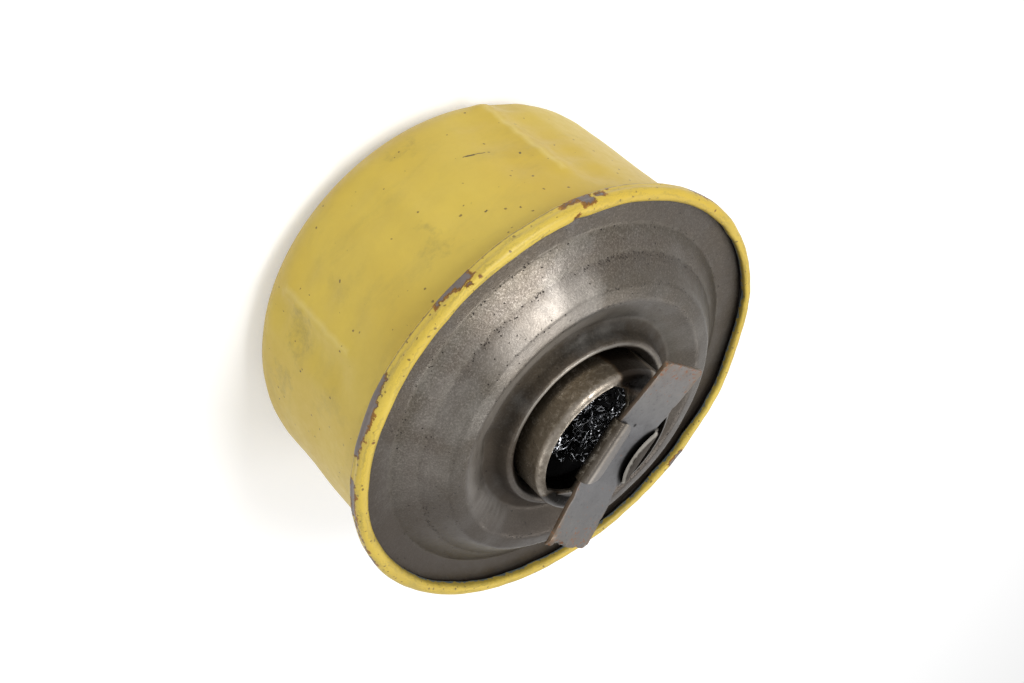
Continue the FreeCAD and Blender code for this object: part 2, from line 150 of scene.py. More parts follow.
def push(piece, pushes):
    """Pushes the vertices nearest to some places, and what lies within reach of them.

    A push is (places, move, reach)."""
    tree = KDTree(len(piece.data.vertices))
    for vertex in piece.data.vertices:
        tree.insert(vertex.co, vertex.index)
    tree.balance()
    pick(piece)
    bpy.ops.object.mode_set(mode="EDIT")
    for places, move, reach in pushes:
        bpy.ops.mesh.select_all(action="DESELECT")
        cage = bmesh.from_edit_mesh(piece.data)
        cage.verts.ensure_lookup_table()
        for place in places:
            cage.verts[tree.find(place)[1]].select = True
        cage.select_flush_mode()
        bmesh.update_edit_mesh(piece.data)
        bpy.ops.transform.translate(value=move, use_proportional_edit=True, proportional_size=reach,
                                    proportional_edit_falloff="SMOOTH")
    bpy.ops.object.mode_set(mode="OBJECT")


def finish_with(piece, kind, **settings):
    """Adds a modifier with its settings and applies it."""
    pick(piece)
    modifier = piece.modifiers.new(kind.lower(), kind)
    for key, value in settings.items():
        setattr(modifier, key, value)
    bpy.ops.object.modifier_apply(modifier=modifier.name)


def ripple(piece, name, width, strength, mid_level=0.5, group=""):
    """Raises soft waves of a width on a piece, or on one of its vertex groups. The higher the mid level,
    the more of them go inwards."""
    clouds = bpy.data.textures.new(name, "CLOUDS")
    clouds.noise_scale = width
    finish_with(piece, "DISPLACE", texture=clouds, strength=strength, mid_level=mid_level,
                texture_coords="LOCAL", vertex_group=group)


def smooth(piece, angle):
    """Shades smooth across edges that bend less than an angle."""
    pick(piece)
    bpy.ops.object.shade_smooth_by_angle(angle=math.radians(angle))


def thicken(piece, thickness, *materials):
    """Gives a sheet its thickness, inwards from the drawn skin. The materials are the skin's, the other
    side's and the cut edge's."""
    piece.data.materials.clear()
    for material in materials:
        piece.data.materials.append(material)
    finish_with(piece, "SOLIDIFY", thickness=thickness, offset=-1, use_rim=True,
                material_offset=min(1, len(materials) - 1), material_offset_rim=len(materials) - 1)


def dress(piece, node_name, material=None):
    """Gives a finished piece its material, if it has none yet, attaches it to the root, and hides the imported piece
    it stands in for.
    """
    if material:
        piece.data.materials.clear()
        piece.data.materials.append(material)
    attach(piece, "root")
    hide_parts(node_name)


# ---------------------------------------------------------------- camera, floor and light


def add_camera():
    """Looks at the cap as the photograph does, from the place and with the lens that were fitted to it. It
    is rolled, because the cap lay tilted there."""
    data = bpy.data.cameras.new("photo_camera")
    data.lens = 49.138
    data.sensor_width = 36
    camera = bpy.data.objects.new("photo_camera", data)
    bpy.context.scene.collection.objects.link(camera)
    camera.location = (0.0782214, 0.2258273, 0.2031207)
    camera.rotation_euler = [math.radians(angle) for angle in (-43.15076, -36.14156, -50.87552)]
    bpy.context.scene.camera = camera


def add_lamp(name, azimuth, elevation, distance, width, height, power):
    """A soft box that faces the middle of the cap."""
    data = bpy.data.lights.new(name, "AREA")
    data.shape = "RECTANGLE"
    data.size = width
    data.size_y = height
    data.energy = power
    lamp = bpy.data.objects.new(name, data)
    bpy.context.scene.collection.objects.link(lamp)
    reach = distance * math.cos(math.radians(elevation))
    middle = Vector((0, 0, 40 * MM))
    lamp.location = middle + at(azimuth, reach, distance * math.sin(math.radians(elevation)))
    lamp.rotation_euler = (middle - lamp.location).to_track_quat("-Z", "Y").to_euler()
    lamp.visible_camera = False


def add_studio():
    """A plain pale floor, three soft boxes, and a white surround that lights less than it shows."""
    bpy.context.scene.view_settings.view_transform = "Standard"
    bpy.ops.object.select_all(action="DESELECT")
    bpy.ops.mesh.primitive_plane_add(size=6, location=(0, 0, 0))
    floor = bpy.context.object
    floor.name = "studio_floor"
    floor.data.materials.append(white_floor())
    world = bpy.data.worlds.new("studio_surround")
    bpy.context.scene.world = world
    world.use_nodes = True
    world.node_tree.nodes.clear()
    add = partial(add_node, world.node_tree)
    lit_level = 0.62    # the surround's strength where it lights the cap
    strength = add("MapRange", (seen_rays(add),), levels=(0, 1, lit_level, 1))
    sky = add("Background", {"Color": (1, 1, 1, 1), "Strength": strength})
    add("OutputWorld", {"Surface": sky})
    add_lamp("slope_light", 31, 56, 0.50, 0.15, 0.26, 1.75)
    add_lamp("crest_light", -99, 59, 0.50, 0.16, 0.16, 0.5)
    add_lamp("drum_light", 150, 22, 0.80, 0.50, 0.30, 0.8)


# ---------------------------------------------------------------- materials


def colour(code):
    """An sRGB hex colour as linear RGBA."""
    parts = [int(code[index:index + 2], 16) / 255 for index in (1, 3, 5)]
    return [part / 12.92 if part <= 0.04045 else ((part + 0.055) / 1.055) ** 2.4 for part in parts] + [1]


def fill(node, inputs):
    """Sets a node's inputs, named or in order, to values, or links them to sockets or to other nodes' first
    output in use."""
    for key, value in inputs.items() if isinstance(inputs, dict) else enumerate(inputs):
        if isinstance(value, bpy.types.Node):
            value = next(socket for socket in value.outputs if socket.enabled)
        if isinstance(value, bpy.types.NodeSocket):
            node.id_data.links.new(value, node.inputs[key])
        else:
            node.inputs[key].default_value = value


def add_node(tree, kind, inputs, operation=None, stops=(), levels=(), **settings):
    """Adds a shader node with its settings and inputs. A ramp has stops, and a map range has levels: from
    its least and most, to its least and most."""
    node = tree.nodes.new("ShaderNode" + kind)
    if operation:
        node.operation = operation
    fill(node, dict(zip(("From Min", "From Max", "To Min", "To Max"), levels)))
    for index, (place, tone) in enumerate(stops):
        ramp = node.color_ramp.elements
        stop = ramp[index] if index < 2 else ramp.new(place)
        stop.position = place
        stop.color = tone
    for key, value in settings.items():
        setattr(node, key, value)
    fill(node, inputs)
    return node


def new_material(name, **fixed):
    """A material with a Principled shader, whose fixed values are set on its own sockets."""
    material = bpy.data.materials.new(name)
    material.use_nodes = True
    material.node_tree.nodes.clear()
    add = partial(add_node, material.node_tree)
    shader = add("BsdfPrincipled", {key.replace("_", " "): value for key, value in fixed.items()})
    add("OutputMaterial", {"Surface": shader})
    return material, add, shader


def object_place(add):
    """The place on the cap, in the cap's own axes, and its x, y and z."""
    place = add("TexCoord", {}).outputs["Object"]
    return place, *add("SeparateXYZ", (place,)).outputs


def coated(add, body, coats):
    """Lays coats over a body colour, each over the last. A coat is (how much of it covers, its colour), or
    (a value, its colour, the levels that turn the value into cover)."""
    for cover, tone, *levels in coats:
        if levels:
            cover = add("MapRange", (cover,), levels=levels[0])
        over = colour(tone) if isinstance(tone, str) else tone
        body = add("Mix", {0: cover, 6: body, 7: over}, data_type="RGBA")
    return body


def apart(add, value, middle):
    """How far a value lies from a middle one."""
    gap = add("Math", (value, middle), "SUBTRACT")
    return add("Math", (gap,), "ABSOLUTE")


def seen_rays(add):
    """1 on the rays that show the background: from the camera, in metal and through glass."""
    path = add("LightPath", {})
    seen = add("Math", (path.outputs["Is Camera Ray"], path.outputs["Is Glossy Ray"]), "MAXIMUM")
    seen = add("Math", (seen, path.outputs["Is Transmission Ray"]), "MAXIMUM")
    return seen


def white_floor():
    """Matt white board, lit to white where it is seen, with the cap's shadow kept."""
    material, add, shader = new_material("matt_white_board", Roughness=0.9)
    shader.inputs["Base Color"].default_value = colour("#E4E4E4")
    shader.inputs["Specular IOR Level"].default_value = 0.0
    shader.inputs["Emission Color"].default_value = (1, 1, 1, 1)
    lift_to_white = 0.34    # the glow that takes the lit board to white
    lift = add("Math", (seen_rays(add), lift_to_white), "MULTIPLY")
    fill(shader, {"Emission Strength": lift})
    return material


def mark_field(add, map_socket, marks):
    """Signed distance in mm to the nearest of some marks; negative inside. A mark is (around, along,
    half_around, half_along), all in mm on the map."""
    nearest = None
    for around, along, half_around, half_along in marks:
        offset = add("VectorMath", (map_socket, (around, along, 0)), "SUBTRACT")
        offset = add("VectorMath", (offset,), "ABSOLUTE")
        offset = add("VectorMath", (offset, (half_around, half_along, 0)), "SUBTRACT")
        parts = add("SeparateXYZ", (offset,))
        field = add("Math", (parts.outputs["X"], parts.outputs["Y"]), "MAXIMUM")
        if nearest:
            field = add("Math", (field, nearest), "MINIMUM")
        nearest = field
    return nearest


def speck_field(add, place, cells, rarity, size, ragged=None):
    """How deep in a speck a place lies, negative outside, measured in cells. So many cells lie in a metre,
    and those that draw more than the rarity hold a speck of up to the size. A ragged edge is (a noise,
    its share of a cell)."""
    near = add("TexVoronoi", {"Vector": place, "Scale": cells})
    draw = add("TexWhiteNoise", {"Vector": near.outputs["Position"]})
    reach = add("MapRange", (draw,), levels=(rarity, 1, 0, size))
    if ragged:
        near = add("Math", (near, add("Math", ragged, "MULTIPLY")), "ADD")
    return add("Math", (reach, near), "SUBTRACT")


# Chips in the rim's paint: azimuth from and to, and how far along the rim's section from and to, in mm.
# The section starts at 0 where the flange leaves the drum, is at 4 on the rim's outside and at 8 on top.
RIM_CHIPS = [
    (92.5, 99.0, 2.0, 4.6),
    (98.0, 107.5, 2.0, 5.4),
    (106.5, 113.2, 2.0, 4.8),
    (64.8, 69.4, 2.2, 5.2),
    (68.8, 74.8, 2.2, 4.3),
    (66.2, 67.4, 5.8, 6.6),
    (119.5, 125.5, 3.2, 5.4),
    (125.0, 131.0, 3.6, 5.2),
    (132.0, 135.0, 4.2, 5.4),
    (136.6, 138.6, 4.4, 5.6),
    (140.6, 143.0, 4.8, 5.8),
    (145.0, 149.0, 5.0, 6.0),
    (33.4, 36.4, 3.2, 6.0),
    (36.0, 40.8, 3.5, 4.2),
    (30.2, 32.2, 4.2, 5.0),
    (38.3, 39.4, 7.8, 9.6),
    (-11.0, 2.0, 3.4, 5.4),
    (-34.0, -30.0, 3.4, 4.8),
    (-102.0, -96.5, 3.2, 8.6),
    (-132.5, -129.5, 3.6, 6.8),
]


def yellow_enamel():
    """Sprayed enamel on drawn sheet steel: an even warm yellow with a soft gloss, dulled and smudged by
    handling, with painted shade in its dents, along the rim's fold and inside the roll, painted highlights on its
    creases, chipped to grey steel with rusty borders along the rim's fold."""
    material, add, shader = new_material("sprayed_yellow_enamel", Specular_IOR_Level=0.35)
    place, x, y, z = object_place(add)
    azimuth = add("Math", (y, x), "ARCTAN2")
    around = add("Math", (azimuth, RIM_MM), "MULTIPLY")
    height = add("Math", (z, 1 / MM), "MULTIPLY")
    along = add("Attribute", {}, attribute_name="along").outputs["Fac"]

    # Fine shake of the marks' edges, 0.5 to 2 mm long
    noise = add("TexNoise", {"Vector": place, "Scale": 700, "Detail": 5, "Roughness": 0.7})
    shake = add("VectorMath", (noise.outputs["Color"], (0.5, 0.5, 0.5)), "SUBTRACT")
    shake = add("VectorMath", (shake, (3.2, 3.2, 0)), "MULTIPLY")
    shake_parts = add("SeparateXYZ", (shake,))
    rim_map = add("CombineXYZ", (around, along))
    rim_map = add("VectorMath", (rim_map, shake), "ADD")
    chips = []
    for first, last, low, high in RIM_CHIPS:
        chips.append((arc((first + last) / 2), (low + high) / 2, arc(last - first) / 2, (high - low) / 2))
    field = mark_field(add, rim_map, chips)
    blotches = add("TexNoise", {"Vector": place, "Scale": 380, "Detail": 3})

    # Broad changes of tone, 30 mm across, and fine ones of 2 mm
    broad = add("TexNoise", {"Vector": place, "Scale": 32, "Detail": 2})
    fine = add("TexNoise", {"Vector": place, "Scale": 500, "Detail": 5, "Roughness": 0.7})
    coats = [(broad, "#C8AF46", (0.35, 0.65)), (fine, "#B49A48", (0.3, 0.7, 0, 0.22))]

    # Soft grey smudges, dirt where oily hands held the drum and painted shade in its dents, broken up by a 1 mm
    # speckle
    drum_map = add("CombineXYZ", (around, height))
    streak_map = add("VectorMath", (drum_map, (0.05, 0.13, 0)), "MULTIPLY")
    streaks = add("TexNoise", {"Vector": streak_map, "Scale": 1.0, "Detail": 4, "Roughness": 0.6, "Distortion": 0.5})
    smudge_and_dent_shade = add("MapRange", (streaks,), levels=(0.52, 0.8, 0, 0.42))
    warp = add("TexNoise", {"Vector": place, "Scale": 210, "Detail": 4, "Roughness": 0.65})
    warp = add("VectorMath", (warp.outputs["Color"], (0.5, 0.5, 0.5)), "SUBTRACT")
    warp = add("VectorMath", (warp, (22, 22, 0)), "MULTIPLY")
    warp = add("VectorMath", (drum_map, warp), "ADD")
    for turn, up, reach, strength in ((104.5, 19, 6, 0.6), (121.6, 15, 5, 0.45), (54.6, 9.3, 4, 0.4),
                                      (64.0, 35, 5, 0.4), (112, 33, 7, 0.3), (86, 24, 5, 0.2)):
        gap = add("VectorMath", (warp, (arc(turn), up, 0)), "DISTANCE")
        spot = add("MapRange", (gap,), levels=(reach, 0, 0, strength), interpolation_type="SMOOTHERSTEP")
        smudge_and_dent_shade = add("Math", (spot, smudge_and_dent_shade), "MAXIMUM")
    speckle = add("TexNoise", {"Vector": place, "Scale": 900, "Detail": 5, "Roughness": 0.8})
    speckle = add("MapRange", (speckle,), levels=(0.3, 0.72, 0.15, 1))
    dirt_and_dent_shade = add("Math", (speckle, smudge_and_dent_shade), "MULTIPLY")
    coats.append((dirt_and_dent_shade, "#7E7240"))

    # Pale lines on the creases' tops: worn paint with a painted highlight
    crease_map = add("VectorMath", (shake, (0.3, 0.3, 0)), "MULTIPLY")
    crease_map = add("VectorMath", (drum_map, crease_map), "ADD")
    crease_wear_and_highlight = mark_field(add, crease_map, [(arc(27.2), 20, 0.25, 14), (arc(97.7), 22, 0.25, 11)])
    coats.append((crease_wear_and_highlight, "#DCCB85", (0.9, -0.2, 0, 0.3)))

    # Rust pinholes of about 0.3 mm and finer rust dust, both thicker on the rim than on the drum
    on_rim = add("MapRange", (along,), levels=(1, 2.5, 0.91, 0.4))
    loose = add("VectorMath", (noise.outputs["Color"], (1.2 * MM,) * 3), "MULTIPLY")
    loose = add("VectorMath", (place, loose), "ADD")
    pinhole = speck_field(add, loose, 300, on_rim, 0.16, (fine, 0.1))
    coats.append((pinhole, "#6E4A1E", (-0.07, 0)))
    dust = speck_field(add, loose, 900, on_rim, 0.28)
    coats.append((dust, "#5C4726", (-0.05, 0.05, 0, 0.8)))

    # A scratch with its tail, and single dots, near black
    fine_map = add("VectorMath", (shake, (0.2, 0.2, 0)), "MULTIPLY")
    fine_map = add("VectorMath", (drum_map, fine_map), "ADD")
    slant = add("Mapping", {"Vector": fine_map, "Location": (-36.6, -21.6, 0)})
    slant = add("Mapping", {"Vector": slant, "Rotation": (0, 0, math.radians(13.5))})
    scratch = mark_field(add, slant, [(0, 0, 2.4, 0.08), (0.9, 0.1, 1.0, 0.14), (-3.2, 0.1, 0.25, 0.1)])
    dots = mark_field(add, fine_map, [(arc(32.1), 25.7, 0.22, 0.18), (arc(51.3), 36.1, 0.32, 0.16),
                                      (arc(112.6), 22.0, 0.2, 0.2)])
    scratch = add("Math", (scratch, dots), "MINIMUM")
    coats.append((scratch, "#453A22", (0.12, -0.05)))

    # Brown dirt and painted shade in the groove between the drum and the flange, and a line of painted shade along
    # the rim's fold
    groove_dirt_and_shade = apart(add, along, 0.1)
    groove_dirt_and_shade = add("MapRange", (groove_dirt_and_shade,), levels=(1.3, 0.1))
    fold = apart(add, along, 3.4)
    fold = add("MapRange", (fold,), levels=(0.4, 0.1))
    groove_dirt_and_shade = add("Math", (groove_dirt_and_shade, fold), "MAXIMUM")
    groove_dirt_and_shade = add("Math", (groove_dirt_and_shade, noise), "MULTIPLY")
    coats.append((groove_dirt_and_shade, "#6F5930", (0.25, 0.55, 0, 0.85)))

    # Scuffs that run round the rim
    scuff_map = add("VectorMath", (rim_map, (0.12, 1.6, 0)), "MULTIPLY")
    scuffs = add("TexNoise", {"Vector": scuff_map, "Scale": 1.0, "Detail": 3})
    scuffs = add("MapRange", (scuffs,), levels=(0.48, 0.7, 0, 0.6))
    rim_only = add("MapRange", (along,), levels=(2.2, 3.2))
    scuffs = add("Math", (scuffs, rim_only), "MULTIPLY")
    coats.append((scuffs, "#8E7E3C"))

    # The roll's inner side: darkened with dirt and painted shade, then bare where the paint ends in a ragged line
    edge_line = add("Math", (shake_parts.outputs["X"], along), "ADD")
    coats.append((edge_line, "#6C6238", (8.6, 9.8, 0, 0.45)))

    # Rust in two tones, orange outside and brown at the chip
    rust = coated(add, colour("#38240A"), [(blotches, "#A87218")])
    halo_reach = add("MapRange", (blotches,), levels=(0.4, 0.7, 0.12, 0.8))
    halo = add("Math", (halo_reach, field), "SUBTRACT")
    coats.append((halo, rust, (-0.05, 0.15)))
    steel_tone = coated(add, colour("#4F4844"), [(fine, "#7C7370")])
    inside = add("MapRange", (field,), levels=(-0.1, -0.3))
    coats.append((inside, steel_tone))
    bare_edge = add("MapRange", (edge_line,), levels=(10.4, 10.55))
    coats.append((bare_edge, "#7E8C8D"))

    # Metal only where the paint is gone
    metal = add("Math", (inside, bare_edge), "MAXIMUM")
    metal = add("Math", (metal, 0.7), "MULTIPLY")
    gloss = add("MapRange", (fine,), levels=(0.3, 0.7, 0.36, 0.5))

    # The paint film is 0.15 mm thick at a chip, and has a faint orange peel of about 2 mm
    film = add("MapRange", (field,), levels=(-0.2, 0.2))
    peel_bump = add("Bump", {"Height": blotches, "Strength": 0.18, "Distance": 0.2 * MM})
    film_bump = add("Bump", {"Height": film, "Strength": 1.0, "Distance": 0.18 * MM, "Normal": peel_bump})
    fill(shader, {"Base Color": coated(add, colour("#BFA236"), coats), "Metallic": metal, "Roughness": gloss,
                  "Normal": film_bump})
    return material


def oily_inside():
    """The unpainted inside of the pressings, brown-black with old oil."""
    material, add, shader = new_material("oil_blackened_steel", Roughness=0.5)
    place = add("TexCoord", {}).outputs["Object"]
    cloud = add("TexNoise", {"Vector": place, "Scale": 300, "Detail": 4})
    fill(shader, {"Base Color": coated(add, colour("#15110D"), [(cloud, "#2E2720")])})
    return material


def sheared_edge():
    """The cut edge of the cover's sheet, bright where the paint has worn off it."""
    material, add, shader = new_material("sheared_sheet_edge", Metallic=0.8, Roughness=0.35)
    place = add("TexCoord", {}).outputs["Object"]
    wear = add("TexNoise", {"Vector": place, "Scale": 500, "Detail": 4})
    fill(shader, {"Base Color": coated(add, colour("#5F6B68"), [(wear, "#B9C1C2", (0.4, 0.6))])})
    return material


# Tones of the base plate by radius in mm: where each press step lies, with its worn or dirty line, a painted
# highlight on the bead's crest, and painted shade in the dip's foot and where the plate runs under the rim's roll
PLATE_TONES_AND_PAINTED_LIGHT = [
    (17.0, "#322C25"), (18.6, "#403932"), (18.9, "#8C857B"), (19.4, "#645D55"), (19.9, "#3D362E"), (20.5, "#19150F"),
    (21.4, "#1B1711"), (22.6, "#37312A"), (24.5, "#565148"), (26.0, "#5F5951"), (28.6, "#5A554F"), (29.2, "#605B55"),
    (29.8, "#57524B"), (32.1, "#56514A"), (32.6, "#524D46"), (33.2, "#5B564F"), (36.2, "#534D47"), (36.8, "#4F4943"),
    (37.3, "#666058"), (38.5, "#605952"), (41.1, "#59544C"), (41.6, "#6B655C"), (42.1, "#4D4740"), (46.5, "#46403A"),
    (47.8, "#25201B"),
]


def plate_steel():
    """Bare cold-rolled sheet, pressed and then stained by hot oil: grey-brown with a soft broad shine. Each
    step of the pressing has its own tone and a worn or pitted line at its edge. Painted highlights lie on the
    crest's slope and the bead, painted light on the dip's slope, and painted shade darkens the side that lies away
    from the pressed lug."""
    material, add, shader = new_material("oil_stained_pressed_steel", Metallic=0.66)
    place, x, y, _ = object_place(add)
    flat = add("CombineXYZ", (x, y))
    radius = add("VectorMath", (flat,), "LENGTH")
    radius = add("Math", (radius, 1 / MM), "MULTIPLY")
    cloud = add("TexNoise", {"Vector": place, "Scale": 70, "Detail": 5, "Roughness": 0.6})
    mottle = add("TexNoise", {"Vector": place, "Scale": 420, "Detail": 5, "Roughness": 0.75})
    grain = add("TexNoise", {"Vector": place, "Scale": 2400, "Detail": 3, "Roughness": 0.8})

    # The steps' edges wander by half a millimetre
    wander = add("MapRange", (mottle,), levels=(0.3, 0.7, -0.35, 0.35))
    zone = add("Math", (radius, wander), "ADD")
    zone = add("Math", (zone, RIM_MM), "DIVIDE")
    stops = [(radius_mm / RIM_MM, colour(code)) for radius_mm, code in PLATE_TONES_AND_PAINTED_LIGHT]
    tones = add("ValToRGB", {0: zone}, stops=stops)

    # Clouds of brown and of grey stain, and a fine speckle, lighter and darker
    coats = [(cloud, "#54493A", (0.42, 0.68, 0, 0.55)), (cloud, "#8B8781", (0.5, 0.3, 0, 0.35))]
    coarse = add("MapRange", (radius,), levels=(36.6, 37.6, 0.42, 0.56))
    smooth_ledge = add("MapRange", (radius,), levels=(41, 41.8, 1, 0.55))
    coarse = add("Math", (coarse, smooth_ledge), "MULTIPLY")
    in_dip = add("MapRange", (radius,), levels=(24, 29, 0.3, 1))
    coarse = add("Math", (coarse, in_dip), "MULTIPLY")
    speckle = add("TexNoise", {"Vector": place, "Scale": 2500, "Detail": 4, "Roughness": 0.8})
    coats.append((speckle, "#A39B91", (0.5, 0.72, 0, coarse)))
    coats.append((speckle, "#3A322B", (0.48, 0.3, 0, coarse)))

    # Painted light on the dip's outer slope, where it leans away from the pressed lug
    normal = add("NewGeometry", {})
    leaning = add("SeparateXYZ", (normal.outputs["Normal"],))
    leaning = add("MapRange", (leaning.outputs["Y"],), levels=(-0.08, -0.4, 0, 0.8))
    dip_slope_painted_light = apart(add, radius, 26.4)
    dip_slope_painted_light = add("MapRange", (dip_slope_painted_light,), levels=(4.2, 1.6))
    dip_slope_painted_light = add("Math", (dip_slope_painted_light, leaning), "MULTIPLY")
    coats.append((dip_slope_painted_light, "#B0A89E"))

    # Painted highlights between +X and +Y, on the crest's slope and on the bead
    heading = add("VectorMath", (flat,), "NORMALIZE")
    heading = add("VectorMath", (heading, (0.53, 0.848, 0)), "DOT_PRODUCT")
    painted_highlight = add("MapRange", (heading,), levels=(0.89, 0.985, 0, 0.26), interpolation_type="SMOOTHSTEP")
    raised = add("MapRange", (radius,), levels=(29.2, 31))
    low = add("MapRange", (radius,), levels=(36.8, 34.8, 0.05))
    painted_highlight = add("Math", (painted_highlight, raised), "MULTIPLY")
    painted_highlight = add("Math", (painted_highlight, low), "MULTIPLY")
    coats.append((painted_highlight, "#B3ABA2"))
    top = apart(add, radius, 19.3)
    top = add("MapRange", (top,), levels=(0.45, 0.1))
    painted_highlight = add("MapRange", (heading,), levels=(0.6, 0.95, 0, 0.85))
    painted_highlight = add("Math", (painted_highlight, top), "MULTIPLY")
    coats.append((painted_highlight, "#E2DCD2"))

    # Painted shade on the side towards -X
    lean = add("VectorMath", (flat, (-0.92, -0.39, 0)), "DOT_PRODUCT")
    shade = add("Math", (cloud, 14 * MM), "MULTIPLY")
    shade = add("Math", (lean, shade), "ADD")
    shade = add("MapRange", (shade,), levels=(-14 * MM, 34 * MM, 0, 0.78), interpolation_type="SMOOTHSTEP")
    coats.append((shade, "#362E27"))

    # Lighter painted shade on the side towards +X and -Y
    lean = add("VectorMath", (flat, (0.75, -0.66, 0)), "DOT_PRODUCT")
    coats.append((lean, "#3A332C", (4 * MM, 32 * MM, 0, 0.42)))

    # Pits of 0.3 mm, thickest along the pressing's corners
    crowd = None
    for middle, strength in ((36.7, 0.4), (32.5, 0.2), (29.2, 0.25), (41.5, 0.2)):
        gap = apart(add, radius, middle)
        near = add("MapRange", (gap,), levels=(0.7, 0.15, 0.012, strength))
        if crowd:
            near = add("Math", (near, crowd), "MAXIMUM")
        crowd = near
    gate = add("MapRange", (cloud,), levels=(0.4, 0.55))
    crowd = add("Math", (gate, crowd), "MULTIPLY")
    ragged = add("VectorMath", (speckle.outputs["Color"], (0.6 * MM,) * 3), "MULTIPLY")
    ragged = add("VectorMath", (place, ragged), "ADD")
    cells = add("TexVoronoi", {"Vector": ragged, "Scale": 2300})
    draw = add("TexWhiteNoise", {"Vector": cells.outputs["Position"]})
    chosen = add("Math", (draw, crowd), "LESS_THAN")
    pit = add("MapRange", (cells,), levels=(0.5, 0.25))
    pit = add("Math", (pit, chosen), "MULTIPLY")
    coats.append((pit, "#1E1813"))

    # Rust spots, about 1 mm
    spot = speck_field(add, place, 150, 0.9, 0.15, (mottle, 0.14))
    coats.append((spot, "#7A4218", (-0.08, 0.02, 0, 0.75)))

    # Dullest in the dip's foot, and rough with grain, waves and pits
    dull = add("MapRange", (mottle,), levels=(0.3, 0.7, 0.28, 0.42))
    foot = apart(add, radius, 21.7)
    foot = add("MapRange", (foot,), levels=(2, 1.3, 0, 0.4))
    dull = add("Math", (dull, foot), "ADD")
    skin = add("Bump", {"Height": grain, "Strength": 0.65, "Distance": 0.06 * MM})
    waves = add("Bump", {"Height": mottle, "Strength": 0.35, "Distance": 0.15 * MM, "Normal": skin})
    holes = add("Bump", {"Height": pit, "Strength": 0.7, "Distance": 0.08 * MM, "Normal": waves}, invert=True)
    fill(shader, {"Base Color": coated(add, tones, coats), "Roughness": dull, "Normal": holes})
    return material


# Tones of the neck by height in mm: painted shade at the foot, stained wall, polished lip with a painted highlight,
# bridge and lugs with a painted highlight on the folds
NECK_TONES_AND_PAINTED_LIGHT = [(52.0, "#221D17"), (56.0, "#4F473A"), (58.0, "#685F51"), (60.8, "#71685A"), (61.7, "#70675B"),
              (62.3, "#877F75"), (63.1, "#80786E"), (64.0, "#5A5248"), (65.0, "#3D372F"), (66.8, "#3A342C"),
              (67.1, "#8C847A"), (67.3, "#A39B92"), (68.2, "#7E766C")]


